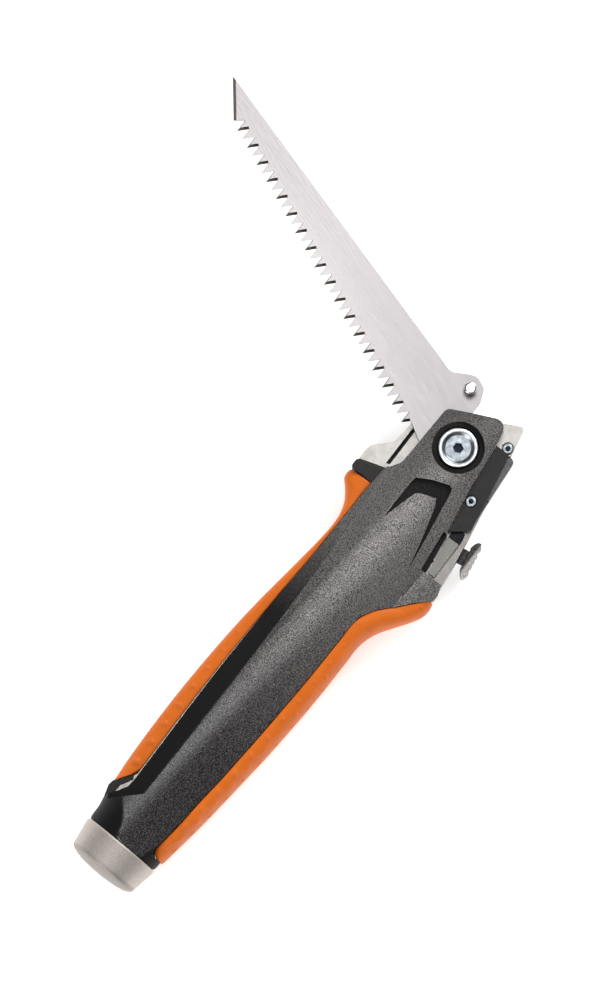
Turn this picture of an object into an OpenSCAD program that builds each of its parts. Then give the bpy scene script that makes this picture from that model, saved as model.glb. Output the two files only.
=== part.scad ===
// Folding drywall saw with a retractable utility knife in the handle.
// X runs along the handle toward the nose, Y toward the belly side, Z up to
// the saw side. Z = 0 is the resting plane.

/* [Saw blade] */
// Thickness of the saw blade
saw_t = 1.4; // [1.2:0.1:1.5]
// Tooth spacing along the blade
tooth_pitch = 3.24; // [3.22:0.005:3.245]
// Height of the teeth
tooth_h = 4.0; // [3.4:0.1:4.2]
// Width of the ground flats on the teeth
grind_w = 0.8; // [0.5:0.1:0.9]
// Height of the thumb stud above the blade
stud_h = 7; // [5:0.2:7.4]
// Radius of the thumb stud
stud_r = 2.1; // [1.8:0.1:2.2]

/* [Pivot] */
// Radius of the shoulder the saw turns on
shoulder_r = 4; // [3.5:0.1:4.2]
// Radius of the pivot screw head
pivot_head_r = 6.6; // [6:0.1:6.8]
// Size across the flats of the hex socket
socket_af = 3; // [2.5:0.1:3.5]
// Running clearance of the saw on its shoulder
run_gap = 0.05; // [0.02:0.01:0.08]

/* [Handle] */
// Height of the near cover's crest above the pivot
crest_z = 21.8; // [21.4:0.1:22.4]
// Radius of the near cover's crown
crown_r = 34; // [32:1:38]
// Wall thickness of the covers
wall = 2.6; // [2.2:0.1:3]
// Radius of the end cap at its front edge
cap_r = 13.9; // [13.4:0.1:13.9]
// Height of the end cap's axis
cap_z = 13.7; // [13.6:0.1:13.9]
// Depth of the arrow shaped recess
arrow_depth = 1.3; // [0.8:0.1:1.5]
// Height of the small bumps on the back grip
bump_h = 0.35; // [0.2:0.05:0.5]

/* [Knife] */
// Thickness of the utility blade
knife_t = 0.6; // [0.5:0.05:0.65]
// Width of the utility blade
knife_w = 19; // [18:0.5:19]
// Length of the utility blade's cutting edge
knife_l = 61; // [59:0.5:61]

/* [Hidden] */
$fn = 64;

// Levels through the thickness
floor_z = 14;                              // top of the frame, floor of the saw slot
saw_z = 14.6;                              // far face of the saw
saw_top = saw_z + saw_t;
cover_z = 16.8;                            // underside of the near cover
web_z = 11.4;                              // top of the far shell
block_z = 3;                               // far face of the frame's nose block
cave_lo = 4.6;                             // carrier channel
cave_hi = 9.2;
knife_z = 7.55;                            // far face of the utility blade

rest = 74.4;                               // saw direction at rest
pivot = [-1.1, -0.6];                      // axis the saw turns on
saw_hole = [-0.87, 0.9];                   // the same axis in the saw's own frame
slide = 9.2;                               // direction the knife slides in
yaw = -5.5;                                // direction of the handle's crest
dip = 1.89;                                // fall of the crest toward the nose

// ---- smooth curves through hand set points -------------------------------
function seg(t, x, i = 0) = (i >= len(t) - 2 || x < t[i + 1][0]) ? i : seg(t, x, i + 1);
function slope(t, i) =
    i == 0 ? (t[1][1] - t[0][1]) / (t[1][0] - t[0][0]) :
    i == len(t) - 1 ? (t[i][1] - t[i - 1][1]) / (t[i][0] - t[i - 1][0]) :
    (t[i + 1][1] - t[i - 1][1]) / (t[i + 1][0] - t[i - 1][0]);
function curve(t, x) = let (
    i = seg(t, x), h = t[i + 1][0] - t[i][0], s = (x - t[i][0]) / h)
    (2 * pow(s, 3) - 3 * pow(s, 2) + 1) * t[i][1] + (pow(s, 3) - 2 * pow(s, 2) + s) * h * slope(t, i)
    + (3 * pow(s, 2) - 2 * pow(s, 3)) * t[i + 1][1] + (pow(s, 3) - pow(s, 2)) * h * slope(t, i + 1);

// Belly edge of the near cover, and the width of the slot beside it
belly_t = [[-153, 17.0], [-150, 17.1], [-135, 17.3], [-120, 17.5], [-105, 17.5], [-95, 17.3], [-85, 17.1],
           [-75, 16.8], [-60, 16], [-45, 15.6], [-27, 15.1], [-22, 14.8]];
function belly(x) = curve(belly_t, x);
function slot_w(x) = lookup(x, [[-150, 0.75], [-120, 0.65], [-100, 0.5], [-80, 0.3], [-20, 0.25]]);
// Back edge of the near cover, where the back grip starts
back_t = [[-166, -2], [-155, -3.5], [-145, -4.3], [-135, -5.3], [-125, -6], [-115, -6.7], [-105, -7.2],
          [-95, -7.7], [-85, -8], [-75, -8.2], [-67, -8.5], [-62, -10.1], [-55, -16.2], [-50, -20.5],
          [-47, -23.2]];
function back(x) = curve(back_t, x);
// Outer edges of the two grips
belly_out_t = [[-156.5, 22.9], [-150, 23.5], [-140, 23.9], [-120, 24], [-110, 23.7], [-100, 23.2], [-90, 22.5],
               [-80, 21.5], [-70, 20.2], [-60, 18.9], [-50, 17.7], [-45, 17.4], [-40, 18], [-36.5, 19.3],
               [-33, 21.8], [-30.5, 24], [-29, 24.3], [-27, 24]];
function belly_out(x) = curve(belly_out_t, x);
back_out_t = [[-168.8, -6.5], [-160, -7.8], [-150, -9.2], [-140, -10.3], [-130, -11.3], [-120, -12.3],
              [-110, -13], [-100, -13.6], [-90, -13.9], [-80, -14], [-70, -14.5], [-65, -16.5], [-60, -19.8],
              [-55, -23.2], [-52, -24.8], [-49, -25.3], [-46.2, -24.9]];
function back_out(x) = curve(back_out_t, x);

// ---- shared shapes -------------------------------------------------------
// Everything below the crown: a long cylinder lying along the handle's crest
module crown(r) {
    translate([0, -3.5, crest_z - crown_r]) rotate([0, 0, yaw]) rotate([0, -90 + dip, 0])
        translate([0, 0, -40]) cylinder(r = r, h = 240, $fn = 160);
}
// Turned outline that rounds the butt end down to the end cap
module butt(grow = 0) {
    translate([-171.5, 7.9, cap_z]) rotate([0, 0, -2.2]) rotate([0, 90, 0])
        rotate_extrude($fn = 120) polygon([
            [0, 0.15], [13.2 + grow, 0.15], [13.6 + grow, 0.9], [13.8 + grow, 5], [14.4 + grow, 8],
            [15.6 + grow, 11.5], [17.4 + grow, 16], [20.5, 22], [27, 32], [40, 48], [70, 80], [70, 230],
            [0, 230]]);
}
// Socket head screw standing on z = 0, head first, pointing to -z
module socket_screw(head_r, head_h, shank_r, length, af) {
    difference() {
        union() {
            cylinder(r = head_r, h = head_h - 0.3);
            translate([0, 0, head_h - 0.3]) cylinder(r1 = head_r, r2 = head_r - 0.3, h = 0.3);
            translate([0, 0, -length]) cylinder(r = shank_r, h = length + 0.1);
        }
        translate([0, 0, head_h - af * 0.6]) cylinder(r = af / sqrt(3), h = af, $fn = 6);
    }
}
// A prism that grinds a flat of width w along the edge from p to q of a plate,
// on the plate's near face when near is true, and leaves 0.3 of the edge
module grind(p, q, w, zl, zh, near, from = 0.1, past = 0.3) {
    d = q - p;
    h = (zh - zl - 0.3) * 1.4;
    z = near ? zl + 0.3 : zh - 0.3;
    over = near ? z + h : z - h;
    translate([p[0], p[1], 0]) rotate([0, 0, atan2(d[1], d[0])]) rotate([90, 0, 90])
        translate([0, 0, from]) linear_extrude(norm(d) - from + past)
            polygon([[0.03, z], [0, z], [-1.4 * w, over], [0.03, over]]);
}
module in_slide() { rotate([0, 0, slide]) children(); }

// Positions of the three handle screws, the lock pivot and the nose screw
screw_front = [-53.5, -13.8];
screw_middle = [-105, -3.6];
screw_rear = [-162.6, 7.5];
lock_pivot = [-12.4, -14.6];
nose_screw_at = [9.3, -13.4];
release_pivot = [-15.2, -18];
spring_x = -35.6;

// ---- frame ---------------------------------------------------------------
frame_step = 7;
nose_line = [[3.1, 16.9], [6.5, 10.5], [14.3, -5.5], [17.9, -12.7], [17.8, -13.4], [17, -14], [8, -15.8],
             [-20, -20.8], [-30, -22.5], [-40.5, -23.7]];
guard_line = [[-19.9, 13], [-20.3, 14.9], [-23, 23.6], [-20, 23.6], [-17.5, 23.2], [-16, 22], [-14, 20], [-12, 18.2],
              [-11, 17.7], [-6, 17.2]];
module frame() {
    color("silver") difference() {
        union() {
            // floor of the saw slot, along the whole handle
            translate([0, 0, web_z + 0.1]) linear_extrude(floor_z - web_z - 0.1) polygon(concat(
                [[-158.6, -2.1], [-158.6, 20.2], [-156.4, 20.1], [-154.5, 19], [-152.5, 17.9]],
                [for (x = [-148:frame_step:-29]) [x, belly(x) + slot_w(x)]], [[-27.5, 15.3], [-27.3, 13]],
                guard_line, nose_line,
                [[-44, -23.8], [-47.5, -21.9], [-55, -15.2], [-61.8, -9.4], [-67, -7.8]],
                [for (x = [-75:-14:-146]) [x, back(x) + 0.7]]));
            // nose block around the knife channel
            translate([0, 0, block_z]) linear_extrude(web_z - block_z + 0.2) polygon(concat(
                [[-61.4, -4], [-59.5, 8.5], [-40, 11.5], [-24.5, 12.3]], guard_line, nose_line,
                [[-43, -22.6], [-57.5, -10.5]]));
            // raised spine lip beside the window
            translate([0, 0, floor_z - 0.1]) linear_extrude(1.6)
                polygon([[-40.1, -20.6], [-23.5, -20.6], [-20.4, -20.9], [-30, -22.5], [-40.1, -23.65]]);
            // rest for the lock spring and post for the side plate
            translate([spring_x - 1.8, -11.5, floor_z - 0.1]) cube([3.6, 1.3, 2.7]);
            translate([3.4, -12.4, floor_z - 0.1]) cylinder(r = 1.2, h = cover_z - floor_z + 0.05);
            translate([-18.6, -18.6, floor_z - 0.1]) cylinder(r = 0.9, h = cover_z - floor_z + 0.05);
        }
        // groove between the guard and the frame
        translate([0, 0, 8]) linear_extrude(8)
            polygon([[-18.9, 15.6], [5, 15.6], [5, 14.3], [-18.5, 14.3]]);
        // channel for the carrier, the knife's mouth and the slot for the thumb slider
        in_slide() translate([0, 0, cave_lo]) linear_extrude(cave_hi - cave_lo)
            polygon([[12.7, -14.8], [6.4, 5.7], [-57, 5.7], [-41.5, -14.8]]);
        in_slide() translate([0, 0, knife_z - 0.35]) linear_extrude(knife_t + 0.7)
            polygon([[19, -14.5], [12, 5.2], [0, 5.2], [0, -14.5]]);
        in_slide() translate([-34.1, -20, 5]) cube([34.3, 5.6, 3.1]);
        // pocket for the release lever, its pin and its spring
        translate([0, 0, 9.9]) linear_extrude(8) polygon([
            [-17.4, -24], [-17.4, -17.2], [-16.2, -15.9], [-14, -15.9], [-11.5, -16.6], [-4, -15.2],
            [6.4, -13.6], [7.6, -14.7], [7.6, -19]]);
        translate([release_pivot[0], release_pivot[1], 9.35]) cylinder(r = 0.82, h = 5);
        translate([-1.2, -14.9, 12]) rotate([-90, 0, 0]) cylinder(r = 1.25, h = 4.2);
        // pivot bush, nose screw, lock screw and front handle screw
        translate([pivot[0], pivot[1], 9.4]) cylinder(r = 4.5, h = 6);
        translate([nose_screw_at[0], nose_screw_at[1], 12.4]) cylinder(r = 2.15, h = 4);
        translate([nose_screw_at[0], nose_screw_at[1], 9.4]) cylinder(r = 1, h = 4);
        translate([lock_pivot[0], lock_pivot[1], 10.2]) cylinder(r = 1.2, h = 6);
        for (p = [screw_front, screw_middle]) translate([p[0], p[1], 2]) cylinder(r = 1.55, h = 14);
    }
}

// ---- far shell -----------------------------------------------------------
shell_step = 6;
module far_crown() {
    translate([0, 1, crown_r - 1.4]) rotate([0, 0, yaw]) rotate([0, -90, 0])
        translate([0, 0, -40]) cylinder(r = crown_r, h = 240, $fn = 160);
}
module far_shell() {
    color("dimgray") difference() {
        intersection() {
            union() {
                // trough behind the slot floor
                linear_extrude(web_z) polygon(concat(
                    [[-171.8, -8], [-171.8, 23], [-168, 23.4], [-159, 23.4], [-156.4, 23], [-154.6, 20.5],
                     [-152, 18]],
                    [for (x = [-148:shell_step:-60]) [x, belly(x) + slot_w(x)]], [[-60, 7], [-63.5, -4],
                     [-66, -8.1]],
                    [for (x = [-72:-shell_step:-162]) [x, back(x) + 0.15]],
                    [[-166.1, -1.9], [-167.6, -2.6], [-168.5, -4], [-168.6, -8]]));
                // rim at the butt and shoulder beside the end of the belly grip
                translate([0, 0, web_z - 0.1]) linear_extrude(floor_z - web_z + 0.1)
                    polygon([[-171.8, -8], [-171.8, 23], [-168, 23.4], [-159, 23.4], [-156.5, 23],
                             [-155, 21.5], [-151.7, 19.1], [-151.3, 18.3], [-152.4, 18.1], [-154.5, 19.2],
                             [-156.3, 20.35], [-158.8, 20.35], [-158.8, -2.5], [-166.1, -1.9], [-167.6, -2.5],
                             [-168.5, -4], [-168.6, -8]]);
                // floor under the frame's nose block
                linear_extrude(block_z - 0.05) polygon(concat(
                    [for (x = [-62:shell_step:-26]) [x, belly(x) + slot_w(x)]],
                    [[-23.4, 15.2], [-19, 15], [0, 15], [2, 13.5], [7.4, -5], [7.4, -15.4], [-20, -20.3],
                     [-30, -22], [-42, -23.3], [-44.5, -23], [-55, -15.4], [-61.8, -10], [-66, -8.4]]));
            }
            butt();
            far_crown();
        }
        // hollow inside the trough, flat under the butt end
        difference() {
            translate([0, 0, wall]) linear_extrude(20) polygon([
                [-157, 17], [-120, 15], [-80, 14.4], [-64.5, 6], [-66.5, -5.6], [-80, -5.4], [-120, -3.6],
                [-157, 0.6]]);
            translate([screw_middle[0], screw_middle[1], 0]) cylinder(r = 3.6, h = 20);
        }
        // spigot socket and screw holes with sunk heads
        translate([-172, 7.9, cap_z]) rotate([0, 0, -2.2]) rotate([0, 90, 0]) cylinder(r = 8.1, h = 5.6);
        for (p = [screw_front, screw_middle, screw_rear]) translate([p[0], p[1], 0]) {
            translate([0, 0, -2]) cylinder(r = 2.9, h = 4.1);
            cylinder(r = 1.55, h = 20);
        }
        // rests flat
        translate([-200, -60, -5]) cube([260, 120, 5]);
    }
}

// ---- near cover ----------------------------------------------------------
cover_step = 5;
cover_front = [[-22, 14.8], [-20, 14.3], [-19.3, 13.4], [-16.5, 11.5], [-15, 11.2], [6, 10.5], [7.1, 10.1],
               [7.8, 9.3], [10, 4.5], [14.3, -5], [14.5, -6.4], [13.7, -8.1], [12, -9], [7.5, -9.7],
               [0, -10.9], [-10, -12], [-20, -13.7], [-24.5, -14.3], [-25.9, -14.5], [-26.1, -15.2],
               [-40.3, -17], [-40.5, -23.5], [-42, -24.2], [-44, -24.8], [-46, -24.7]];
module arrow() {
    polygon([[-34, 4.9], [-20, 4.8], [-17.5, 4.5], [-15, 0], [-12.7, -6], [-13.3, -7.3], [-15, -7.8],
             [-30, -10.1], [-43, -12], [-30, -8.9], [-21, -6.3], [-19, -5.1], [-20.8, 0.3], [-22, 1.5]]);
}
// Space above the chamfer along the belly edge, lifted by up
module chamfer_plane(up) {
    translate([-172, 11.3, crest_z + 6.05 + up]) rotate([0, 2.74, 0]) rotate([-36, 0, 0])
        translate([-8, -2, 0]) cube([170, 32, 20]);
}
module near_cover() {
    color("dimgray") difference() {
        intersection() {
            union() {
                intersection() {
                    translate([0, 0, cover_z]) linear_extrude(20) polygon(concat(
                        [[-168.5, -4], [-168.6, -8], [-171.8, -8], [-171.8, 23], [-166, 23.4], [-161.5, 21.5],
                         [-158.5, 19.3], [-155.4, 17.4]],
                        [for (x = [-152:cover_step:-24]) [x, belly(x)]], cover_front,
                        [for (x = [-50:-cover_step:-160]) [x, back(x)]], [[-166.1, -1.9], [-167.6, -2.5]]));
                    union() {
                        crown(crown_r);
                        translate([-76, -30, 10]) cube([37, 22, 8.7]);
                    }
                }
                // back wall, hump wall and butt end, down to the frame
                translate([0, 0, floor_z + 0.05]) linear_extrude(4) polygon(concat(
                    [[-40.5, -23.5], [-42, -24.2], [-44, -24.8], [-46, -24.7]],
                    [for (x = [-50:-cover_step:-160]) [x, back(x)]], [[-166.1, -1.9], [-167.6, -2.5], [-168.5, -4],
                     [-168.6, -8], [-171.8, -8], [-171.8, 23], [-166, 23.4], [-161.5, 21.5], [-159, 19.8],
                     [-158, 14], [-158.4, 1]],
                    [for (x = [-155:10:-68]) [x, back(x) + 2]], [[-61, -7.5], [-52, -14.5], [-43, -21.8],
                     [-42.6, -13.2], [-40.3, -13], [-40.5, -17]]));
                for (p = [screw_front, screw_middle]) translate([p[0], p[1], floor_z + 0.05])
                    cylinder(r = 2.9, h = 5);
            }
            butt(0.05);
        }
        // hollow under the crown, clear of the screw bosses and the pivot
        intersection() {
            difference() {
                translate([0, 0, cover_z - 0.5]) linear_extrude(20) polygon([
                    [-156, 3], [-156, 13], [-150, 14.6], [-120, 15.4], [-90, 15.2], [-60, 13.8], [-45, 13.2],
                    [-45, -10], [-60, -6.6], [-80, -5.6], [-120, -3.6]]);
                for (p = [screw_front, screw_middle]) translate([p[0], p[1], 0]) cylinder(r = 2.9, h = 40);
                chamfer_plane(-wall * 1.4);
            }
            crown(crown_r - wall);
        }
        // long dark chamfer along the belly edge
        intersection() {
            linear_extrude(40) polygon([[-163, 20.8], [-158, 15.3], [-154.6, 11.8], [-153.3, 10.9],
                [-151.5, 10.6], [-12, 10.6], [-12, 30], [-165, 30]]);
            chamfer_plane(0);
        }
        // arrow shaped recess
        difference() {
            translate([0, 0, cover_z]) linear_extrude(20) arrow();
            crown(crown_r - arrow_depth);
        }
        // low ledge along the window
        translate([0, 0, cover_z + 0.9]) linear_extrude(20)
            polygon([[-40.3, -15.2], [-26, -13.6], [-25.9, -16], [-40.3, -18]]);
        // pivot: shoulder hole, head recess and shallow dish
        translate([pivot[0], pivot[1], 0]) {
            translate([0, 0, cover_z - 1]) cylinder(r = shoulder_r + 0.1, h = 10);
            translate([0, 0, 18.4]) cylinder(r = pivot_head_r + 0.5, h = 10);
            translate([0, 0, crest_z - 1.5]) cylinder(r = 8.7, h = 10);
        }
        for (p = [screw_front, screw_middle, screw_rear]) translate([p[0], p[1], 10])
            cylinder(r = 1.3, h = 7.4);
        translate([-172, 7.9, cap_z]) rotate([0, 0, -2.2]) rotate([0, 90, 0]) cylinder(r = 8.1, h = 5.6);
    }
}

// ---- side plate ----------------------------------------------------------
module side_plate() {
    color("#3a3836") difference() {
        translate([0, 0, cover_z]) linear_extrude(1.7) polygon([
            [-24.9, -14.6], [-20, -13.9], [-10, -12.2], [0, -11.1], [7.4, -9.95], [7.4, -15.2],
            [-10, -18.7], [-19, -20.3], [-20, -20.4], [-20.7, -20]]);
        translate([lock_pivot[0], lock_pivot[1], cover_z + 0.9]) cylinder(r = 2.2, h = 5);
        translate([lock_pivot[0], lock_pivot[1], 10]) cylinder(r = 1.6, h = 10);
    }
}

// ---- grips ---------------------------------------------------------------
function belly_in(x) = x >= -148 ? belly(x) + slot_w(x) + 0.2
    : lookup(x, [[-156.5, 22.5], [-155, 21.9], [-151.4, 19.4], [-148, belly(-148) + slot_w(-148) + 0.2]]);
function belly_sec(x, a) = let (yi = belly_in(x), w = belly_out(x) - yi)
    [x, yi + w * pow(cos(a), 0.7), 7.5 + 6.3 * sign(a) * pow(abs(sin(a)), 0.8)];
function back_sec(x, a) = let (yi = back_in(x), w = yi - back_out(x), zt = back_top(x))
    [x, yi - w * pow(cos(a), 0.75), 10.5 + (a > 0 ? zt - 10.5 : 9) * sign(a) * pow(abs(sin(a)), 0.8)];
function back_in(x) = x < -166 ? lookup(x, [[-168.4, -4.2], [-167.6, -2.85], [-166, -2.25]]) : back(x) - 0.25;
function back_top(x) = lookup(x, [[-168.4, 19.2], [-160, 21.6], [-150, 22.8], [-120, 22.3], [-100, 22],
                                  [-80, 21.8], [-67, 21.6], [-60, 20.2], [-55, 18.4], [-46.6, 18.1]]);
// Skin through one closed ring of points per station
module skin(rings) {
    n = len(rings[0]);
    m = len(rings);
    polyhedron(
        points = [for (r = rings) for (p = r) p],
        faces = concat(
            [[for (j = [n - 1:-1:0]) j]],
            [for (i = [0:m - 2]) for (j = [0:n - 1]) let (k = (j + 1) % n)
                [i * n + j, i * n + k, (i + 1) * n + k, (i + 1) * n + j]],
            [[for (j = [0:n - 1]) (m - 1) * n + j]]),
        convexity = 8);
}
module belly_grip() {
    xs = concat([-156, -154.5, -153, -151.4, -149.7], [for (x = [-148:3:-40]) x],
                [-38.5, -37, -35.5, -34, -32.5, -31.2, -30, -29, -28.2, -27.2]);
    color("darkorange") union() {
        skin([for (x = xs) [for (a = [90:-15:-90]) belly_sec(x, a)]]);
        // knuckle bumps on the upper side, smaller toward the nose
        for (i = [0:7]) let (p = belly_sec(-147 + 7.75 * i, 66), r = 2.3 - 0.16 * i)
            translate(p - [0, 0.4, r - bump_h - 0.1]) sphere(r = r, $fn = 20);
    }
}
module back_grip() {
    xs = concat([-168.3, -167.6, -166], [for (x = [-163:4:-71]) x], [-68, -65, -62, -59.5, -57, -54.5, -52, -50,
                -48.4, -47.2]);
    color("darkorange") union() {
        skin([for (x = xs) [for (a = [-90:15:90]) back_sec(x, a)]]);
        // three staggered rows of small bumps
        for (k = [0:2]) for (i = [0:10]) let (
            a = [76, 52, 22][k], p = back_sec(-75.5 - 7.9 * i + (k == 1 ? 4 : 0), a), r = 0.9 + 0.07 * i)
            translate(p + (r - bump_h) * [0, cos(a + 12), -sin(a + 12)]) sphere(r = r, $fn = 14);
    }
}

// ---- end cap and guard liner ---------------------------------------------
module end_cap() {
    color("tan") intersection() {
        translate([-171.5, 7.9, cap_z]) rotate([0, 0, -2.2]) rotate([0, 90, 0]) rotate_extrude($fn = 128)
            polygon([[0, 4.9], [8, 4.9], [8, 0], [cap_r - 0.5, 0], [cap_r - 0.1, -0.35], [cap_r, -0.9],
                     [cap_r - 1.4, -9.6], [cap_r - 1.9, -10.2], [11, -10.8], [9.4, -11.3], [7.4, -11.7],
                     [5.2, -11.95], [2.6, -12.1], [0, -12.15]]);
        translate([-190, -20, 0]) cube([40, 60, 40]);
    }
}
module guard_liner() {
    color("#303030") translate([0, 0, block_z + 0.05]) linear_extrude(floor_z - block_z - 0.05)
        polygon([[-27, 13.3], [-20.2, 13.3], [-20.5, 14.7], [-23.2, 23.5], [-23.7, 24.1], [-26, 24.2],
                 [-26.6, 23.8], [-26.9, 18]]);
}

// ---- pivot ---------------------------------------------------------------
module pivot_screw() {
    color("gainsboro") translate([pivot[0], pivot[1], 0]) difference() {
        union() {
            translate([0, 0, 18.45]) cylinder(r = pivot_head_r, h = 2.2);
            translate([0, 0, 20.65]) cylinder(r1 = pivot_head_r, r2 = pivot_head_r - 0.3, h = 0.3);
            translate([0, 0, floor_z + 0.02]) cylinder(r = shoulder_r, h = 4.5);
            translate([0, 0, 9.6]) cylinder(r = 2.45, h = 5);
        }
        translate([0, 0, 20.15]) cylinder(r1 = 4.3, r2 = 5.3, h = 0.81);
        translate([0, 0, 18.4]) cylinder(r = socket_af / sqrt(3), h = 5, $fn = 6);
    }
}
module pivot_bush() {
    color("goldenrod") translate([pivot[0], pivot[1], 0]) difference() {
        translate([0, 0, 9.45]) cylinder(r = 4.48, h = floor_z - 9.45);
        translate([0, 0, 9]) cylinder(r = 2.5, h = 6);
    }
}
module washer(z, r, h) {
    translate([pivot[0], pivot[1], z]) difference() {
        cylinder(r = r, h = h);
        translate([0, 0, -1]) cylinder(r = shoulder_r + 0.1, h = h + 2);
    }
}
module near_washer() { color("white") washer(saw_top + 0.06, 9.2, cover_z - saw_top - 0.11); }
module far_washer() { color("white") washer(floor_z + 0.03, 9.2, saw_z - floor_z - 0.09); }

// ---- saw -----------------------------------------------------------------
first_tip = [17.7, 10.4];
tooth_slope = -0.1357;
teeth = 35;
heel = [16.1, 7.7];
end_corner = [131.3, -5.75];
saw_tip = [143.4, -14.5];
function tip(i) = [first_tip[0] + i * tooth_pitch, first_tip[1] + tooth_slope * i * tooth_pitch];
function gullet(i) = i == 0 ? heel
    : [tip(i)[0] - 0.62 * tooth_pitch, tip(i)[1] - 0.62 * tooth_slope * tooth_pitch - tooth_h];
module saw_blade() {
    color("lightgray") rotate([0, 0, rest]) difference() {
        translate([0, 0, saw_z]) union() {
            translate(saw_hole) cylinder(r = 10.2, h = saw_t, $fn = 128);
            linear_extrude(saw_t) polygon(concat(
                [[-0.9, 10.9], [4, 10.2], [9, 9.5], [15.3, 7.8]],
                [for (i = [0:teeth - 1]) for (p = [gullet(i), tip(i)]) p], [gullet(teeth), end_corner, saw_tip],
                [[22, -12.75], [20.5, -13.3], [16.4, -17.4], [15.2, -18.3], [13.8, -18.7], [10.6, -18.3],
                 [9.6, -17.7], [7.2, -14.6], [6.7, -13.6], [5.6, -9.2], [-0.9, -9.2]]));
        }
        // ground flats, on the near face and the far face by turns
        for (i = [0:teeth - 1]) {
            grind(gullet(i), tip(i), grind_w, saw_z, saw_top, i % 2 == 0);
            grind(tip(i), gullet(i + 1), grind_w * 0.45, saw_z, saw_top, i % 2 == 0, -0.3, -0.1);
        }
        grind(end_corner, saw_tip, 1, saw_z, saw_top, true, -1, 1);
        // shoulder hole, stud hole and the two lock notches
        translate([12.3, -14.1, 10]) cylinder(r = 1.22, h = 10);
        translate([saw_hole[0], saw_hole[1], 10]) {
            cylinder(r = shoulder_r + run_gap, h = 10);
            for (a = [69.5, 240]) rotate([0, 0, a]) translate([8.4, -1.25, 0]) cube([5, 2.5, 10]);
        }
    }
}
module thumb_stud() {
    color("white") rotate([0, 0, rest]) translate([12.3, -14.1, 0]) {
        translate([0, 0, saw_z]) cylinder(r = 1.2, h = saw_t + 0.5);
        translate([0, 0, saw_top + 0.02]) cylinder(r = stud_r, h = stud_h - 0.3);
        translate([0, 0, saw_top + stud_h - 0.28]) cylinder(r1 = stud_r, r2 = stud_r - 0.3, h = 0.3);
    }
}

// ---- lock ----------------------------------------------------------------
module lock_lever() {
    color("#8a9088") translate([0, 0, floor_z + 0.2]) difference() {
        union() {
            linear_extrude(2.2) polygon([
                [-39.6, -20.1], [-24, -20.1], [-22.3, -19.6], [-20.4, -16.4], [-15, -16.6], [-10.4, -16.2],
                [-5, -12.9], [-3.1, -11.4], [-3.4, -10.95], [-4.6, -10.55], [-6.4, -11.3], [-12, -12.3],
                [-18, -14.4], [-24, -15.6], [-26.2, -15.6], [-39.6, -17.6]]);
            translate([lock_pivot[0], lock_pivot[1], 0]) cylinder(r = 2.5, h = 2.2);
        }
        translate([lock_pivot[0], lock_pivot[1], -1]) cylinder(r = 1.6, h = 5);
        // low neck beside the thumb pad
        translate([-26.1, -21, 1.1]) cube([4.6, 6, 2]);
    }
}
module lock_screw() {
    color("gainsboro") translate([lock_pivot[0], lock_pivot[1], 0]) difference() {
        union() {
            translate([0, 0, cover_z + 0.95]) cylinder(r = 1.8, h = 0.8);
            translate([0, 0, cover_z + 1.7]) cylinder(r1 = 1.8, r2 = 1.55, h = 0.25);
            translate([0, 0, floor_z + 0.03]) cylinder(r = 1.54, h = 4);
            translate([0, 0, 10.4]) cylinder(r = 1.15, h = 4);
        }
        translate([0, 0, cover_z + 1]) cylinder(r = 0.95, h = 2, $fn = 6);
    }
}
// Coil spring standing on z = 0, swept as rings of points
module coil(r, wire, turns, length) {
    c = r - wire;
    skin([for (t = [0:1 / 14:turns]) [for (b = [0:60:300]) let (a = 360 * t, q = c + wire * cos(b))
        [q * cos(a), q * sin(a), wire + (length - 2 * wire) * t / turns + wire * sin(b)]]]);
}
module lock_spring() {
    color("gray") translate([spring_x, -16.9, 15.3]) rotate([-90, 0, 0]) coil(1.05, 0.25, 5, 5.3);
}
module nose_screw() {
    color("gainsboro") translate([nose_screw_at[0], nose_screw_at[1], 12.45])
        socket_screw(1.85, 1.85, 0.95, 2.9, 1.6);
}

// ---- blade release -------------------------------------------------------
module release_lever() {
    color("#4b4b4e") difference() {
        union() {
            translate([0, 0, 10.1]) linear_extrude(3.6) union() {
                polygon([[-15.2, -19.7], [-10, -19.3], [0, -18.5], [5.5, -18.1], [6.6, -17.8], [7.2, -16.8],
                         [7.3, -16.2], [6.5, -15.4], [-4, -16.9], [-11, -18], [-15.2, -16.3]]);
                translate(release_pivot) circle(r = 1.7);
            }
            translate([0, 0, 13.6]) linear_extrude(2.7) polygon([
                [-8.6, -19.15], [0, -18.5], [5.5, -18.1], [6.6, -17.8], [7.2, -16.8], [7.3, -16.2],
                [6.5, -15.4], [-8.6, -18.1]]);
        }
        translate([release_pivot[0], release_pivot[1], 9]) cylinder(r = 0.85, h = 8);
    }
}
module release_pin() {
    color("silver") translate([release_pivot[0], release_pivot[1], 9.4]) cylinder(r = 0.8, h = 4.9);
}
module release_spring() {
    color("gray") translate([-1.2, -15.9, 12]) rotate([-90, 0, 0]) coil(1.0, 0.22, 5, 4.9);
}

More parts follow.
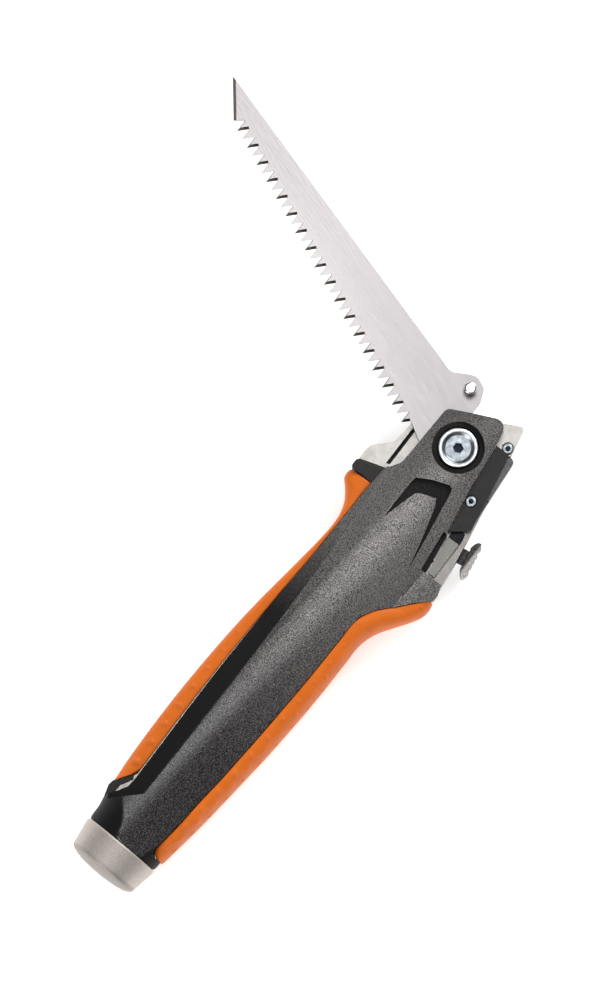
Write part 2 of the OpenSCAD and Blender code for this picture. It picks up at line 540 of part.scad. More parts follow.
// ---- knife ---------------------------------------------------------------
module blade_carrier() {
    color("#444444") in_slide() {
        difference() {
            union() {
                translate([0, 0, cave_lo + 0.15]) linear_extrude(knife_z - cave_lo - 0.2)
                    polygon([[-15.7, -14.5], [-21.8, 5.4], [-56, 5.4], [-41, -14.5]]);
                // two lugs that hold the blade by its notches
                for (u = [-26.5, -18.5]) translate([u, -13.4, knife_z - 0.2]) cylinder(r = 1, h = 1.5);
            }
            // window that saves weight
            translate([-40, -9, 0]) cube([14, 10, 20]);
        }
    }
}
module thumb_slider() {
    color("#4a4646") {
        in_slide() translate([-33.6, -20.4, 5.2]) cube([5.3, 5.85, 2.2]);
        translate([0, 0, 3.4]) linear_extrude(8.2) polygon([
            [-33.8, -27], [-33, -25.9], [-31.5, -24.9], [-25, -23.9], [-24, -23.5], [-22.3, -23.9],
            [-21.2, -24.5], [-20.8, -25.5], [-22.5, -26.7], [-24, -26.2], [-25.2, -27.2], [-26.2, -26.7],
            [-27.2, -27.5], [-28.1, -27], [-29, -27.8], [-30.2, -27.3], [-31.5, -28.3], [-33.3, -27.8]]);
    }
}
module utility_blade() {
    color("#c8ccd0") in_slide() difference() {
        translate([0, 0, knife_z]) linear_extrude(knife_t) difference() {
            polygon([[8, -14.2 + knife_w], [8 - 14, -14.2], [8 - knife_l + 14, -14.2],
                     [8 - knife_l, -14.2 + knife_w]]);
            for (u = [-26.5, -18.5]) {
                translate([u, -13.4]) circle(r = 1.3);
                translate([u - 1.3, -15]) square([2.6, 1.6]);
            }
        }
        // both sides ground along the cutting edge
        for (side = [0, 1]) translate([-60, -14.2 + knife_w, knife_z + knife_t / 2])
            rotate([side * 180, 0, 0]) rotate([90, 0, 90]) linear_extrude(80)
                polygon(side == 0 ? [[0.2, 0.08], [0, 0.08], [-1.8, knife_t / 2], [-1.8, 1], [0.2, 1]]
                                  : [[-0.2, 0.08], [0, 0.08], [1.8, knife_t / 2], [1.8, 1], [-0.2, 1]]);
    }
}

// ---- handle screws, heads on the far side --------------------------------
module handle_screw(p, top) {
    color("silver") translate([p[0], p[1], 2]) mirror([0, 0, 1])
        socket_screw(2.6, 1.4, 1.25, top - 2, 2);
}
module handle_screw_front() { handle_screw(screw_front, 17.2); }
module handle_screw_middle() { handle_screw(screw_middle, 17.2); }
module handle_screw_rear() { handle_screw(screw_rear, 17.2); }

frame();
far_shell();
near_cover();
side_plate();
belly_grip();
back_grip();
end_cap();
guard_liner();
pivot_screw();
pivot_bush();
near_washer();
far_washer();
saw_blade();
thumb_stud();
lock_lever();
lock_screw();
lock_spring();
nose_screw();
release_lever();
release_pin();
release_spring();
blade_carrier();
thumb_slider();
utility_blade();
handle_screw_front();
handle_screw_middle();
handle_screw_rear();
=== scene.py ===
import math

import bmesh
import bpy
import numpy as np
from mathutils import Matrix, Vector


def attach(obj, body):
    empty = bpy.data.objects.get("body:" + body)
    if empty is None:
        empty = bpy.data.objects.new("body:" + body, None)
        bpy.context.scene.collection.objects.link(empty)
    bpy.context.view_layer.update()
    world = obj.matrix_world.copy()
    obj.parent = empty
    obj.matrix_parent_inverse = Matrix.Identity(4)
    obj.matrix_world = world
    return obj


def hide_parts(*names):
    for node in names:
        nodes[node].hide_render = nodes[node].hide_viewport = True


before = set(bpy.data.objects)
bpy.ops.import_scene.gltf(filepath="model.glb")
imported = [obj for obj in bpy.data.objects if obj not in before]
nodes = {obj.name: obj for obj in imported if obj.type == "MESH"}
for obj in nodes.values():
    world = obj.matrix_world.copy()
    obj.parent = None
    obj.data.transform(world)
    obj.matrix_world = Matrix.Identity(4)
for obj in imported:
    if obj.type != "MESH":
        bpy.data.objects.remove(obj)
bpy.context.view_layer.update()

scene = bpy.context.scene

# ---------------------------------------------------------------------------
# The shooting table: the tool lies on its far side on a white sheet, seen from
# almost straight above through a long lens, the handle rising to the right.
# ---------------------------------------------------------------------------
HANDLE_RISE = math.radians(52.5)       # handle above the picture's horizontal
LEAN = math.radians(6)                 # camera leans back from straight above
aim = Vector((-0.04485, 0.0289, 0.016))
up = Vector((math.sin(HANDLE_RISE), math.cos(HANDLE_RISE), 0))
toward = (Vector((0, 0, 1)) * math.cos(LEAN) - up * math.sin(LEAN)).normalized()
lens = bpy.data.cameras.new("camera")
lens.lens = 240
lens.sensor_width = 36
lens.clip_start, lens.clip_end = 0.05, 20
camera = bpy.data.objects.new("camera", lens)
scene.collection.objects.link(camera)
right = up.cross(toward).normalized()
camera.matrix_world = Matrix.Translation(aim + toward * 2.194) @ Matrix(
    (right, toward.cross(right), toward)).transposed().to_4x4()
scene.camera = camera

sheet_mesh = bpy.data.meshes.new("sheet")
sheet_mesh.from_pydata([(-3, -3, 0), (3, -3, 0), (3, 3, 0), (-3, 3, 0)], [], [(0, 1, 2, 3)])
sheet = bpy.data.objects.new("sheet", sheet_mesh)
scene.collection.objects.link(sheet)
paper = bpy.data.materials.new("paper")
paper.use_nodes = True
paper.node_tree.nodes["Principled BSDF"].inputs["Base Color"].default_value = (0.93, 0.93, 0.93, 1)
paper.node_tree.nodes["Principled BSDF"].inputs["Roughness"].default_value = 0.9
paper.node_tree.nodes["Principled BSDF"].inputs["Emission Color"].default_value = (1, 1, 1, 1)
paper.node_tree.nodes["Principled BSDF"].inputs["Emission Strength"].default_value = 0.55
sheet_mesh.materials.append(paper)

sky = bpy.data.worlds.new("studio")
sky.use_nodes = True
sky.node_tree.nodes["Background"].inputs["Color"].default_value = (1, 1, 1, 1)
sky.node_tree.nodes["Background"].inputs["Strength"].default_value = 0.14
scene.world = sky
mirror = (Vector((0, 0, 1)) * math.cos(LEAN) + up * math.sin(LEAN)).normalized()
handle = Vector((1, 0, 0))
for name, place, size, radiance in (
        ("softbox", aim + mirror * 2.6 + handle * 0.12, 0.7, 4.4),
        ("nose_bank", aim + handle * 1.9 + mirror * 1.35, 1.2, 10.4),
        ("butt_bank", aim - handle * 1.9 + mirror * 1.35, 1.2, 5.0)):
    lamp = bpy.data.lights.new(name, "AREA")
    lamp.energy, lamp.size = radiance * math.pi * size * size, size
    lamp_object = bpy.data.objects.new(name, lamp)
    lamp_object.matrix_world = Matrix.Translation(place) @ (place - aim).to_track_quat(
        "Z", "Y").to_matrix().to_4x4()
    scene.collection.objects.link(lamp_object)
scene.view_settings.view_transform = "Standard"


# ---------------------------------------------------------------------------
# Near cover: glass filled nylon moulding, dark charcoal with fine pale fibres
# that sparkle. It is screwed to the frame over the saw slot.
# ---------------------------------------------------------------------------
class Finish:
    """A material under construction: a Principled shader, and short ways to
    add pattern nodes that read Object coordinates in metres."""

    def __init__(self, name, colour, rough, metal=0.0, **sockets):
        self.mat = bpy.data.materials.new(name)
        self.mat.use_nodes = True
        self.tree = self.mat.node_tree
        self.shader = self.tree.nodes["Principled BSDF"]
        self.set(self.shader, "Base Color", (*colour, 1))
        self.set(self.shader, "Roughness", rough)
        self.set(self.shader, "Metallic", metal)
        for socket, value in sockets.items():
            self.set(self.shader, socket.replace("_", " "), value)
        self.place = self.tree.nodes.new("ShaderNodeTexCoord").outputs["Object"]

    def set(self, node, socket, value):
        if hasattr(value, "is_linked"):
            self.tree.links.new(value, node.inputs[socket])
        else:
            node.inputs[socket].default_value = value

    def turned(self, degrees, stretch=(1, 1, 1)):
        """Object coordinates turned about Z, then scaled along each axis."""
        spin = self.tree.nodes.new("ShaderNodeMapping")
        spin.vector_type = "TEXTURE"
        self.set(spin, "Vector", self.place)
        spin.inputs["Rotation"].default_value[2] = math.radians(degrees)
        wide = self.tree.nodes.new("ShaderNodeMapping")
        self.set(wide, "Vector", spin.outputs[0])
        wide.inputs["Scale"].default_value = stretch
        return wide.outputs[0]

    def noise(self, size_mm, detail=3, rough=0.55, at=None, seed=0.0):
        """Smooth noise whose lumps are about size_mm across."""
        node = self.tree.nodes.new("ShaderNodeTexNoise")
        node.noise_dimensions = "4D"
        self.set(node, "Vector", at or self.place)
        self.set(node, "W", seed)
        self.set(node, "Scale", 1000 / size_mm)
        self.set(node, "Detail", detail)
        self.set(node, "Roughness", rough)
        return node.outputs["Fac"]

    def spots(self, size_mm, at=None):
        """Distance from the nearest of scattered points size_mm apart."""
        node = self.tree.nodes.new("ShaderNodeTexVoronoi")
        self.set(node, "Vector", at or self.place)
        self.set(node, "Scale", 1000 / size_mm)
        return node.outputs["Distance"]

    def ramp(self, value, low, high, to_low=0.0, to_high=1.0):
        """value taken from low..high to to_low..to_high, clamped."""
        node = self.tree.nodes.new("ShaderNodeMapRange")
        self.set(node, "Value", value)
        for socket, number in (("From Min", low), ("From Max", high),
                               ("To Min", to_low), ("To Max", to_high)):
            self.set(node, socket, number)
        return node.outputs[0]

    def mix(self, factor, first, second):
        """Colour from first to second by factor."""
        node = self.tree.nodes.new("ShaderNodeMix")
        node.data_type = "RGBA"
        self.set(node, "Factor", factor)
        for socket, colour in ((node.inputs[6], first), (node.inputs[7], second)):
            if hasattr(colour, "is_linked"):
                self.tree.links.new(colour, socket)
            else:
                socket.default_value = (*colour, 1)
        return node.outputs[2]

    def maths(self, kind, *values):
        node = self.tree.nodes.new("ShaderNodeMath")
        node.operation = kind
        for socket, value in zip(node.inputs, values):
            if hasattr(value, "is_linked"):
                self.tree.links.new(value, socket)
            else:
                socket.default_value = value
        return node.outputs[0]

    def within(self, centre, full, none):
        """1 nearer than full to the point centre, 0 beyond none, in metres."""
        node = self.tree.nodes.new("ShaderNodeVectorMath")
        node.operation = "DISTANCE"
        self.set(node, 0, self.place)
        self.set(node, 1, centre)
        return self.ramp(node.outputs["Value"], full, none, 1, 0)

    def level(self, axis, low_mm, high_mm):
        """0 below low_mm and 1 above high_mm along X, Y or Z."""
        node = self.tree.nodes.new("ShaderNodeSeparateXYZ")
        self.set(node, "Vector", self.place)
        return self.ramp(node.outputs[axis], low_mm / 1000, high_mm / 1000)

    def bump(self, height, depth_mm, strength=1.0):
        node = self.tree.nodes.new("ShaderNodeBump")
        self.set(node, "Height", height)
        self.set(node, "Distance", depth_mm / 1000)
        self.set(node, "Strength", strength)
        if self.shader.inputs["Normal"].is_linked:
            self.set(node, "Normal", self.shader.inputs["Normal"].links[0].from_socket)
        self.set(self.shader, "Normal", node.outputs[0])

    def base(self, colour):
        self.set(self.shader, "Base Color", colour)

    def rough(self, value):
        self.set(self.shader, "Roughness", value)


def finish_node(name, finish, round_mm=0.2, steps=2, angle=28):
    """Gives a CAD node its finish and rounds its edges by round_mm: the loose
    triangles are welded, flat ones joined, and sharp edges bevelled."""
    node = nodes[name]
    node.data.materials.clear()
    node.data.materials.append(finish.mat)
    weld = node.modifiers.new("weld", "WELD")
    weld.merge_threshold = 2e-6
    if round_mm:
        flat = node.modifiers.new("join", "DECIMATE")
        flat.decimate_type = "DISSOLVE"
        flat.angle_limit = math.radians(0.4)
        edge = node.modifiers.new("edges", "BEVEL")
        edge.width = round_mm / 1000
        edge.segments = steps
        edge.limit_method = "ANGLE"
        edge.angle_limit = math.radians(angle)
        edge.harden_normals = False
        even = node.modifiers.new("even", "WEIGHTED_NORMAL")
        even.keep_sharp = False
        even.weight = 60


PIVOT = (-0.0011, -0.0006)             # the saw's axis, in metres
CROWN_RADIUS = 0.034                   # the cover's crown is a long cylinder
CREST_Y, CREST_Z = -0.0035, 0.0218     # its crest at the pivot's end
CREST_SLANT, CREST_DROP = 0.0963, 0.033    # tangents of its yaw and of its dip
ACROSS = 0.9954                        # cosine of its yaw
charcoal = Finish("charcoal_nylon", (0.03, 0.028, 0.03), 0.32, Specular_IOR_Level=0.5)
# how far a point lies below the long crown: recesses and the chamfer are painted dark as shade
split = charcoal.tree.nodes.new("ShaderNodeSeparateXYZ")
charcoal.set(split, "Vector", charcoal.place)
off = charcoal.maths("MULTIPLY", charcoal.maths("ADD", split.outputs["Y"], charcoal.maths(
    "MULTIPLY_ADD", split.outputs["X"], CREST_SLANT, -CREST_Y)), ACROSS)
crown = charcoal.maths("SQRT", charcoal.maths("SUBTRACT", CROWN_RADIUS ** 2,
                                              charcoal.maths("POWER", off, 2.0)))
crest = charcoal.maths("MULTIPLY_ADD", split.outputs["X"], -CREST_DROP, CREST_Z - CROWN_RADIUS)
sunk_shade = charcoal.ramp(charcoal.maths("SUBTRACT", charcoal.maths("ADD", crown, crest), split.outputs["Z"]),
                     0.0001, 0.0003)
# the chamfer's painted shade fades toward the nose
run_out = charcoal.maths("MULTIPLY", charcoal.level("X", -80, -42), charcoal.level("Y", 8, 10))
sunk_shade = charcoal.maths("MULTIPLY", sunk_shade, charcoal.ramp(run_out, 0, 1, 1.0, 0.3))
# painted shade: the dish round the pivot screw is drawn dark as well
sunk_shade = charcoal.maths("MAXIMUM", sunk_shade, charcoal.within((*PIVOT, 0.0206), 0.0085, 0.0090))
# pale fibres; a painted highlight makes them denser and brighter toward the front, and painted shade makes
# them fainter at the very nose and on the hump
front = charcoal.level("X", -135, -45)
fibres = charcoal.ramp(charcoal.maths("MULTIPLY_ADD", front, 0.06, charcoal.noise(0.33, 3, 0.7)), 0.47, 0.69)
cloud = charcoal.ramp(charcoal.noise(9, 4), 0.35, 0.65)
glint = charcoal.maths("MULTIPLY", charcoal.maths("MULTIPLY", fibres, charcoal.ramp(sunk_shade, 0, 1, 1.0, 0.05)),
                       charcoal.maths("MULTIPLY", charcoal.ramp(front, 0, 1, 0.42, 1.1),
                                      charcoal.ramp(charcoal.level("X", -25, 12), 0, 1, 1, 0.5)))
glint = charcoal.maths("MULTIPLY", glint, charcoal.ramp(charcoal.level("Y", -20, -13), 0, 1, 0.5, 1.0))
tone = charcoal.mix(cloud, (0.006, 0.0052, 0.0068), (0.011, 0.0096, 0.012))
charcoal.base(charcoal.mix(charcoal.maths("MULTIPLY", glint, 0.85), charcoal.mix(
    sunk_shade, tone, (0.004, 0.0035, 0.0038)), (0.60, 0.57, 0.555)))
charcoal.set(charcoal.shader, "Metallic", charcoal.maths(
    "MAXIMUM", charcoal.maths("MULTIPLY", glint, 0.9), charcoal.maths("MULTIPLY", sunk_shade, 0.6)))
grain = charcoal.ramp(charcoal.noise(0.8, 4), 0.3, 0.7, 0.2, 0.28)
charcoal.rough(charcoal.maths("MAXIMUM", charcoal.maths("MULTIPLY_ADD", front, 0.15, grain),
                              charcoal.maths("MULTIPLY", sunk_shade, 0.62)))
charcoal.bump(charcoal.noise(0.34, 3), 0.03, 0.5)
finish_node("near_cover", charcoal, 0.5, 3)

# ---------------------------------------------------------------------------
# Side plate over the lock lever, guard liner and far shell: smooth dark nylon,
# with a faint mottle.
# ---------------------------------------------------------------------------
plate = Finish("plate_nylon", (0.030, 0.028, 0.026), 0.5)
mottle = plate.ramp(plate.noise(0.25, 2), 0.5, 0.75)
plate.base(plate.mix(mottle, (0.012, 0.011, 0.011), (0.030, 0.028, 0.0275)))
plate.rough(plate.ramp(plate.noise(1.2, 4), 0.3, 0.7, 0.42, 0.58))
plate.bump(plate.noise(0.35, 3), 0.02, 0.4)
finish_node("side_plate", plate, 0.25)
finish_node("guard_liner", plate, 0.3, 2)
finish_node("far_shell", plate, 0.4, 2)

# ---------------------------------------------------------------------------
# Frame: a die cast alloy body, tumbled and left bare, with small pits from
# casting. It carries the saw, the knife and both covers.
# ---------------------------------------------------------------------------
cast = Finish("cast_metal", (0.74, 0.73, 0.70), 0.4, 1.0)
pits = cast.ramp(cast.spots(1.1), 0.05, 0.16)
cast.base(cast.mix(pits, (0.30, 0.27, 0.23), cast.mix(cast.ramp(cast.noise(3, 4), 0.35, 0.65),
                                                    (0.60, 0.575, 0.545), (0.74, 0.715, 0.68))))
# painted shade: the strip under the window is drawn darker, and the groove by the guard black
lower = cast.maths("MULTIPLY", cast.ramp(cast.level("Y", -20.8, -19.4), 0, 1, 1, 0),
                   cast.ramp(cast.level("X", -14, -4), 0, 1, 0.75, 0))
cast.base(cast.mix(lower, cast.shader.inputs["Base Color"].links[0].from_socket, (0.30, 0.28, 0.27)))
groove_shade = cast.maths("MULTIPLY", cast.maths("MULTIPLY", cast.level("Y", 14.15, 14.25), cast.ramp(
    cast.level("Y", 15.65, 15.75), 0, 1, 1, 0)), cast.maths("MULTIPLY", cast.ramp(
        cast.level("Z", 13.75, 13.85), 0, 1, 1, 0), cast.level("X", -19.4, -19.2)))
cast.base(cast.mix(groove_shade, cast.shader.inputs["Base Color"].links[0].from_socket, (0.012, 0.011, 0.010)))
cast.set(cast.shader, "Metallic", cast.ramp(groove_shade, 0, 1, 1, 0))
cast.rough(cast.ramp(cast.noise(0.4, 3), 0.3, 0.7, 0.34, 0.5))
cast.bump(cast.noise(0.35, 3), 0.03, 0.5)
cast.bump(pits, 0.05, 0.6)
finish_node("frame", cast, 0.25)

# ---------------------------------------------------------------------------
# Grips: orange thermoplastic rubber moulded over the nylon, with a dry skin.
# ---------------------------------------------------------------------------
orange = Finish("orange_rubber", (0.76, 0.16, 0.01), 0.55, Specular_IOR_Level=0.3)
orange.base(orange.mix(orange.ramp(orange.noise(5, 4), 0.3, 0.7), (0.80, 0.164, 0.010), (0.88, 0.192, 0.014)))
orange.rough(orange.ramp(orange.noise(0.5, 3), 0.3, 0.7, 0.48, 0.62))
orange.bump(orange.noise(0.22, 3), 0.02, 0.45)


def smooth(points, x):
    """Cubic Hermite curve through given points, slopes by central
    differences: h00 y0 + h10 m0 dx + h01 y1 + h11 m1 dx."""
    px, py = np.array(points, float).T
    slope = np.gradient(py, px)
    i = np.clip(np.searchsorted(px, x, "right") - 1, 0, len(px) - 2)
    dx = px[i + 1] - px[i]
    t = np.clip((x - px[i]) / dx, 0, 1)
    return ((2 * t**3 - 3 * t**2 + 1) * py[i] + (t**3 - 2 * t**2 + t) * slope[i] * dx
            + (3 * t**2 - 2 * t**3) * py[i + 1] + (t**3 - t**2) * slope[i + 1] * dx)


def loft(name, rings, bumps, finish, body="handle"):
    """A closed skin through rings[station, angle] in mm, pushed out along its
    normal by h (1 - d^2/r^2)^2 within r of every bump (x, y, z, r, h), and
    capped by a fan at each end."""
    n, m = rings.shape[:2]
    along = np.gradient(rings, axis=0)
    round_ = np.roll(rings, -1, 1) - np.roll(rings, 1, 1)
    normal = np.cross(along, round_)
    normal /= np.linalg.norm(normal, axis=2, keepdims=True) + 1e-9
    middle = rings.mean(1, keepdims=True)
    normal *= np.sign(((rings - middle) * normal).sum(2, keepdims=True).mean())
    if len(bumps):
        bumps = np.array(bumps)
        apart = np.linalg.norm(rings[:, :, None] - bumps[:, :3], axis=3) / bumps[:, 3]
        rings = rings + normal * (np.clip(1 - apart**2, 0, 1) ** 2 * bumps[:, 4]).sum(2)[..., None]
    points = np.concatenate([rings.reshape(-1, 3), rings[0].mean(0)[None], rings[-1].mean(0)[None]]) / 1000
    i, j = np.meshgrid(np.arange(n - 1), np.arange(m), indexing="ij")
    k = (j + 1) % m
    quads = np.stack([i * m + j, i * m + k, (i + 1) * m + k, (i + 1) * m + j], -1).reshape(-1, 4)
    j = np.arange(m)
    k = (j + 1) % m
    fans = np.concatenate([np.stack([np.full(m, n * m), k, j], 1),
                           np.stack([np.full(m, n * m + 1), (n - 1) * m + j, (n - 1) * m + k], 1)])
    mesh = bpy.data.meshes.new(name)
    mesh.from_pydata(points.tolist(), [], quads.tolist() + fans.tolist())
    mesh.validate()
    sides = bpy.data.objects.new(name, mesh)
    scene.collection.objects.link(sides)
    bm = bmesh.new()
    bm.from_mesh(mesh)
    bmesh.ops.recalc_face_normals(bm, faces=bm.faces)
    bm.to_mesh(mesh)
    bm.free()
    mesh.shade_smooth()
    mesh.materials.append(finish.mat)
    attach(sides, body)
    return sides


# belly grip: nearly flat beside the slot, a crease along the middle with a row of
# knuckle bumps that shrink toward the nose, then rounded off
belly = [[-153, 17.0], [-150, 17.1], [-135, 17.3], [-120, 17.5], [-105, 17.5], [-95, 17.3], [-85, 17.1],
         [-75, 16.8], [-60, 16], [-45, 15.6], [-27, 15.1], [-22, 14.8]]
outer = [[-156.5, 22.9], [-150, 23.5], [-140, 23.9], [-120, 24], [-110, 23.7], [-100, 23.2], [-90, 22.5],
         [-80, 21.5], [-70, 20.2], [-60, 18.9], [-50, 17.7], [-45, 17.4], [-40, 18], [-36.5, 19.3],
         [-33, 21.8], [-30.5, 24], [-29, 24.3], [-27, 24]]
x = np.concatenate([np.linspace(-156, -148, 24), np.linspace(-147.7, -42, 320),
                    np.linspace(-41.7, -27.25, 60)])
slot = np.interp(x, [-150, -120, -100, -80, -20], [0.75, 0.65, 0.5, 0.3, 0.25])
inner = np.where(x < -148, np.interp(x, [-156.5, -155, -151.4, -148], [22.5, 21.9, 19.4, 18.05]),
                 smooth(belly, x) + slot + 0.2)
wide = (smooth(outer, x) - inner)[:, None]
a = np.linspace(math.pi / 2, -math.pi / 2, 72)
end = np.clip(np.minimum(x + 156.6, -26.75 - x) / 1.2, 0, 1)
end = (0.88 + 0.12 * np.sqrt(1 - (1 - end) ** 2))[:, None]
y = inner[:, None] + wide * np.cos(a).clip(0) ** 0.7 * end
lower = np.clip(((0.5 - (y - inner[:, None]) / wide) / 0.1), 0, 1) * (a > 0.1)
fade = np.interp(x, [-152, -146, -100, -80], [0, 1, 0.7, 0])[:, None]
z = 7.5 + 6.3 * np.sign(a) * np.abs(np.sin(a)) ** 0.8 * end - 0.1 * lower * fade
rings = np.stack(np.broadcast_arrays(x[:, None], y, z), -1)
knuckle = -147 + 7.75 * np.arange(8)
at = [np.abs(x - k).argmin() for k in knuckle]
row = [int(np.abs((y[k] - inner[k]) / wide[k] - 0.47 - 5 * (a < 0.1)).argmin()) for k in at]
bumps = [(*rings[k, r], 1.9 - 0.14 * i, 0.7 - 0.06 * i) for i, (k, r) in enumerate(zip(at, row))]
bumps += [(*rings[k + 6, r - 9], 0.8, 0.2) for k, r in zip(at, row)]
belly_skin = loft("belly_grip_skin", rings, bumps, orange)
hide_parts("belly_grip")

# back grip: rounded, with three staggered rows of small bumps and a dimple by the hump
back = [[-166, -2], [-155, -3.5], [-145, -4.3], [-135, -5.3], [-125, -6], [-115, -6.7], [-105, -7.2],
        [-95, -7.7], [-85, -8], [-75, -8.2], [-67, -8.5], [-62, -10.1], [-55, -16.2], [-50, -20.5],
        [-47, -23.2]]
outer = [[-168.8, -6.5], [-160, -7.8], [-150, -9.2], [-140, -10.3], [-130, -11.3], [-120, -12.3],
         [-110, -13], [-100, -13.6], [-90, -13.9], [-80, -14], [-70, -14.5], [-65, -16.5], [-60, -19.8],
         [-55, -23.2], [-52, -24.8], [-49, -25.3], [-46.2, -24.9]]
x = np.concatenate([np.linspace(-168.4, -165, 16), np.linspace(-164.7, -70, 300),
                    np.linspace(-69.6, -46.7, 90)])
inner = np.where(x < -166, np.interp(x, [-168.4, -167.6, -166], [-4.2, -2.85, -2.25]), smooth(back, x) - 0.25)
wide = (inner - smooth(outer, x))[:, None]
top = np.interp(x, [-168.4, -160, -150, -120, -100, -80, -67, -60, -55, -46.6],
                [19.2, 21.6, 22.8, 22.3, 22, 21.8, 21.6, 20.2, 18.4, 18.1])[:, None]
a = np.linspace(-math.pi / 2, math.pi / 2, 72)
end = np.clip(np.minimum(x + 168.8, -45.9 - x) / 1.4, 0, 1)
end = (0.8 + 0.2 * np.sqrt(1 - (1 - end) ** 2))[:, None]
y = inner[:, None] - wide * np.cos(a).clip(0) ** 0.75 * end
z = 10.5 + np.where(a > 0, top - 10.5, 9) * np.sign(a) * np.abs(np.sin(a)) ** 0.8 * end
rings = np.stack(np.broadcast_arrays(x[:, None], y, z), -1)
bumps = []
for level, start in ((76, 0), (52, 4), (22, 0)):
    for i in range(12):
        k = np.abs(x + 75.5 + 7.9 * i - start).argmin()
        r = np.abs(a - math.radians(level)).argmin()
        bumps.append((*rings[k, r], 0.75 + 0.11 * i, 0.3 + 0.012 * i))
k, r = np.abs(x + 50.6).argmin(), np.abs(a - math.radians(62)).argmin()
bumps += [(*rings[k, r], 1.9, 0.35), (*rings[k, r], 1.3, -0.75)]
back_skin = loft("back_grip_skin", rings, bumps, orange)
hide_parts("back_grip")

# ---------------------------------------------------------------------------
# End cap: turned and bead blasted, in a warm satin nickel, its dome painted darker as shade.
# ---------------------------------------------------------------------------
champagne = Finish("satin_nickel", (0.60, 0.55, 0.50), 0.38, 1.0)
grit = champagne.noise(0.3, 3, 0.7)
cap_tone = champagne.mix(champagne.ramp(grit, 0.35, 0.68), (0.52, 0.475, 0.44), (0.80, 0.735, 0.68))
# painted shade: the dome beyond X -181 mm is drawn darker than the rest of the cap
champagne.base(champagne.mix(champagne.level("X", -181.2, -180.0), (0.46, 0.42, 0.39), cap_tone))
champagne.rough(champagne.ramp(champagne.noise(0.5, 2), 0.3, 0.7, 0.56, 0.7))
champagne.bump(grit, 0.04, 0.6)
finish_node("end_cap", champagne, 0.2)

# ---------------------------------------------------------------------------
# Screws, pin and stud: zinc plated and polished steel. The pivot bush is brass
# and the washers are nylon.
# ---------------------------------------------------------------------------
for name, shade_below in (("pivot_screw", 20.1), ("lock_screw", 18.55), ("nose_screw", 14.1),
                         ("handle_screw_front", -1), ("handle_screw_middle", -1),
                         ("handle_screw_rear", -1), ("release_pin", -1)):
    zinc = Finish(name + "_zinc", (0.80, 0.82, 0.85), 0.2, 1.0)
    bright = zinc.mix(zinc.ramp(zinc.noise(1.6, 4), 0.35, 0.68), (0.24, 0.27, 0.30), (0.48, 0.51, 0.54))
    # painted shade: below a given height each screw's socket and recess are drawn near black
    seen = zinc.level("Z", shade_below - 0.05, shade_below + 0.05)
    if name == "pivot_screw":
        # painted highlight: the rim of the head is drawn brighter than the disc inside it
        disc = zinc.within((*PIVOT, 0.0214), 0.0056, 0.0058)
        bright = zinc.mix(disc, (0.80, 0.81, 0.83), bright)
    zinc.base(zinc.mix(seen, (0.015, 0.022, 0.032), bright))
    zinc.rough(zinc.ramp(zinc.noise(1.2, 4), 0.3, 0.7, 0.26, 0.4))
    zinc.bump(zinc.noise(1.5, 3), 0.01, 0.3)
    finish_node(name, zinc, 0.12)
polished = Finish("polished_steel", (0.86, 0.85, 0.84), 0.2, 1.0)
# painted shade: the stud's side is drawn darker than its polished top
polished.base(polished.mix(polished.level("Z", 22.6, 22.8), (0.40, 0.37, 0.34), (0.84, 0.83, 0.82)))
polished.rough(polished.ramp(polished.noise(0.6, 4), 0.3, 0.7, 0.16, 0.28))
polished.set(polished.shader, "Metallic", 1.0)
STUD_X, STUD_Y = 16.89, 8.06
radius, height = np.array([[2.0, 16.02], [2.1, 16.3], [2.1, 22.55], [2.02, 22.78], [1.78, 22.95],
                           [1.3, 22.99], [0.5, 22.93]]).T
turn = np.linspace(0, 2 * math.pi, 64, endpoint=False)[:, None]
stud_rings = np.stack(np.broadcast_arrays(STUD_X + radius * np.cos(turn), STUD_Y + radius * np.sin(turn),
                                          height), -1).transpose(1, 0, 2)
stud = loft("thumb_stud_skin", stud_rings, [], polished, "saw")
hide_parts("thumb_stud")
brass = Finish("turned_brass", (0.72, 0.52, 0.24), 0.3, 1.0)
brass.base(brass.mix(brass.ramp(brass.noise(1.2, 4), 0.35, 0.65), (0.62, 0.44, 0.19), (0.78, 0.57, 0.28)))
brass.rough(brass.ramp(brass.noise(0.5, 3), 0.3, 0.7, 0.22, 0.4))
finish_node("pivot_bush", brass, 0.1)
nylon = Finish("white_nylon", (0.80, 0.79, 0.75), 0.45)
nylon.base(nylon.mix(nylon.ramp(nylon.noise(1.5, 4), 0.35, 0.65), (0.74, 0.73, 0.68), (0.84, 0.83, 0.79)))
nylon.rough(nylon.ramp(nylon.noise(0.5, 3), 0.3, 0.7, 0.38, 0.52))
for name in ("near_washer", "far_washer"):
    finish_node(name, nylon, 0)

# ---------------------------------------------------------------------------
# Saw: blanked from spring steel strip, brushed along its length, with the
# teeth ground by turns from each side.
# ---------------------------------------------------------------------------
SAW_TURN = 74.4                        # degrees from the handle to the saw
steel = Finish("brushed_steel", (0.66, 0.64, 0.64), 0.3, 1.0)
along = steel.turned(SAW_TURN - 3, (0.035, 1, 1))
streak = steel.noise(0.28, 4, 0.7, along)
sheen = steel.noise(14, 3, 0.5, along, 3.0)
# ground faces lie between the plate's two faces; the root is painted darker as shade
flat = steel.maths("MULTIPLY", steel.level("Z", 14.62, 14.7),
                   steel.ramp(steel.level("Z", 15.93, 15.97), 0, 1, 1, 0))
root_shade = steel.ramp(steel.level("Y", 12, 75), 0, 1, 0.6, 0.0)
brushed = steel.mix(steel.ramp(steel.maths("MULTIPLY_ADD", sheen, 0.2, streak), 0.45, 0.72),
                    (0.33, 0.305, 0.315), (0.60, 0.575, 0.58))
steel.base(steel.mix(flat, steel.mix(root_shade, brushed, (0.33, 0.31, 0.315)), (0.13, 0.115, 0.10)))
steel.rough(steel.ramp(streak, 0.3, 0.7, 0.26, 0.40))
steel.bump(streak, 0.003, 0.4)
finish_node("saw_blade", steel, 0.05, 1)

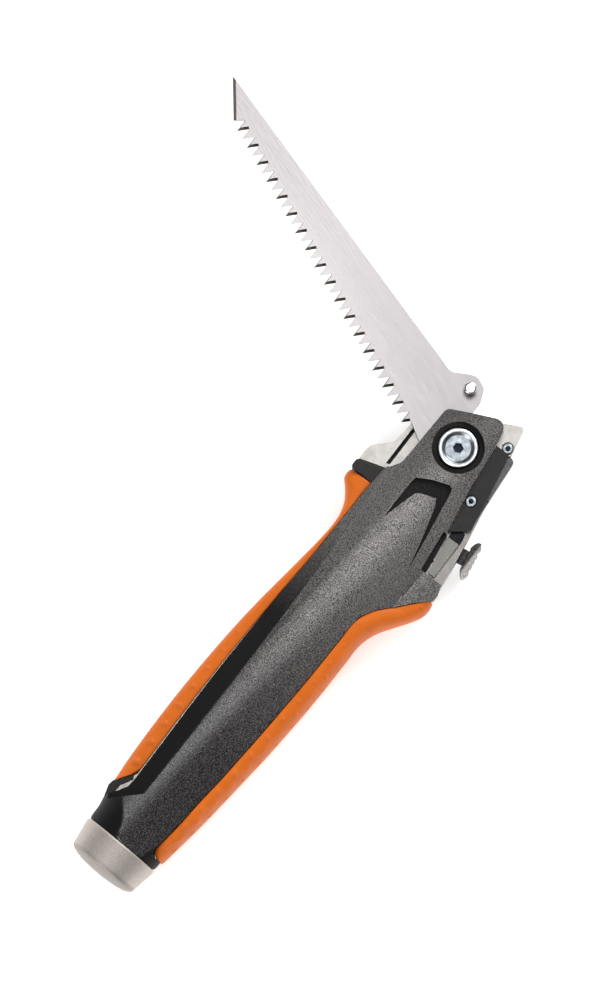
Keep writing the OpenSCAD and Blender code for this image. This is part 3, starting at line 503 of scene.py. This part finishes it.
# ---------------------------------------------------------------------------
# Lock lever, ground steel with a dark arm, and the wire of both springs.
# ---------------------------------------------------------------------------
ground = Finish("ground_steel", (0.40, 0.43, 0.39), 0.35, 1.0)
lines = ground.noise(0.3, 3, 0.6, ground.turned(8, (0.06, 1, 1)))
ground.base(ground.mix(ground.level("Z", 15.4, 15.5), (0.02, 0.02, 0.022), ground.mix(
    ground.ramp(lines, 0.3, 0.7), (0.17, 0.168, 0.155), (0.27, 0.268, 0.25))))
ground.rough(ground.ramp(lines, 0.3, 0.7, 0.28, 0.45))
ground.bump(lines, 0.02, 0.5)
finish_node("lock_lever", ground, 0.15)
wire = Finish("spring_wire", (0.55, 0.55, 0.55), 0.3, 1.0)
wire.base(wire.mix(wire.ramp(wire.noise(0.8, 4), 0.35, 0.65), (0.46, 0.455, 0.45), (0.62, 0.62, 0.61)))
wire.rough(wire.ramp(wire.noise(0.3, 3), 0.3, 0.7, 0.22, 0.4))
for name in ("lock_spring", "release_spring"):
    finish_node(name, wire, 0)

# ---------------------------------------------------------------------------
# Release lever, thumb slider and knife.
# ---------------------------------------------------------------------------
glossy = Finish("glossy_nylon", (0.045, 0.045, 0.05), 0.22)
glossy.base(glossy.mix(glossy.ramp(glossy.noise(2.0, 4), 0.35, 0.65),
                       (0.038, 0.038, 0.042), (0.052, 0.052, 0.058)))
glossy.rough(glossy.ramp(glossy.noise(1.0, 4), 0.3, 0.7, 0.18, 0.32))
glossy.bump(glossy.noise(0.6, 3), 0.02, 0.3)
finish_node("release_lever", glossy, 0.25)
dark_metal = Finish("dark_plated_metal", (0.10, 0.09, 0.09), 0.34, 0.8)
# painted highlight: the ridged edge along the spine is drawn much lighter than the rest of the slider
ridge_highlight = dark_metal.ramp(dark_metal.level("Y", -26.1, -25.4), 0, 1, 1, 0)
dark_metal.base(dark_metal.mix(ridge_highlight, dark_metal.mix(
    dark_metal.ramp(dark_metal.noise(0.7, 4), 0.4, 0.7), (0.035, 0.030, 0.032),
    (0.07, 0.065, 0.062)), (0.36, 0.34, 0.32)))
dark_metal.rough(dark_metal.ramp(dark_metal.noise(0.6, 3), 0.3, 0.7, 0.26, 0.45))
dark_metal.bump(dark_metal.noise(0.3, 3), 0.01, 0.4)
finish_node("thumb_slider", dark_metal, 0.3, 3)
carrier = Finish("carrier_nylon", (0.03, 0.03, 0.03), 0.5)
carrier.base(carrier.mix(carrier.ramp(carrier.noise(1.2, 4), 0.35, 0.65),
                         (0.022, 0.022, 0.022), (0.038, 0.038, 0.037)))
carrier.rough(carrier.ramp(carrier.noise(0.7, 3), 0.3, 0.7, 0.42, 0.58))
finish_node("blade_carrier", carrier, 0.15)
razor = Finish("razor_steel", (0.62, 0.63, 0.64), 0.25, 1.0)
razor_lines = razor.noise(0.25, 3, 0.6, razor.turned(9.2, (0.05, 1, 1)))
razor.base(razor.mix(razor.ramp(razor_lines, 0.35, 0.65), (0.54, 0.55, 0.56), (0.68, 0.69, 0.70)))
razor.rough(razor.ramp(razor_lines, 0.3, 0.7, 0.18, 0.34))
razor.bump(razor_lines, 0.01, 0.4)
finish_node("utility_blade", razor, 0)
